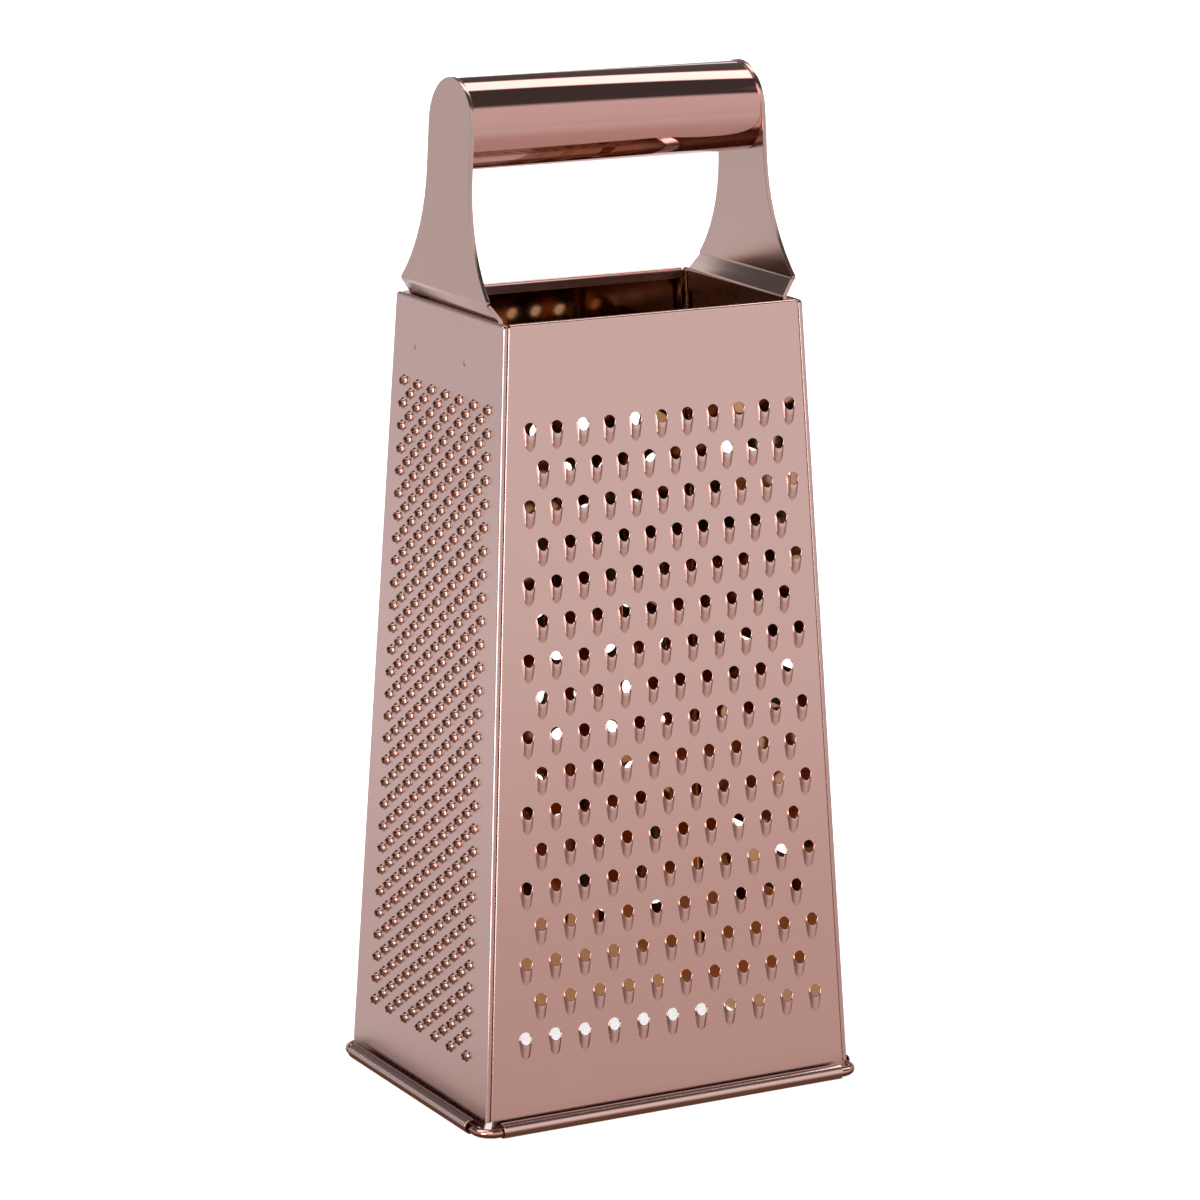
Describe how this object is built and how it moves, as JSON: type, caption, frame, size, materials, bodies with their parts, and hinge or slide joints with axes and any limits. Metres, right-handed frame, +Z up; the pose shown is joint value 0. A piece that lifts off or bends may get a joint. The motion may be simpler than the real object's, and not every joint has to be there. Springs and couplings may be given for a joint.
{
  "type": "box grater",
  "caption": "Four-sided tapered kitchen grater with pressed shredding, rasping and slicing walls, a rolled wired foot and a round bar handle between two flared plates.",
  "frame": {"origin": "centre of the footprint, on the surface that the rolled foot stands on", "axes": "+Z up through the handle, -Y towards the fine shredder wall, -X towards the rasp wall, +X towards the slicer wall"},
  "size_m": [0.1036, 0.0782, 0.24],
  "materials": {
    "satin_wall": "rose gold coated steel sheet, fine satin grain",
    "satin_plate": "rose gold coated steel plate, fine satin grain",
    "drawn_wire": "rose gold coated drawn steel wire, smooth",
    "polished_tube": "rose gold coated steel tube, mirror polished"
  },
  "bodies": {
    "root": {"front_shredder": "satin_wall", "back_shredder": "satin_wall", "left_rasp": "satin_wall", "right_slicer": "satin_wall", "foot_wire": "drawn_wire", "left_plate": "satin_plate", "right_plate": "satin_plate", "handle_tube": "polished_tube"}
  },
  "joints": []
}
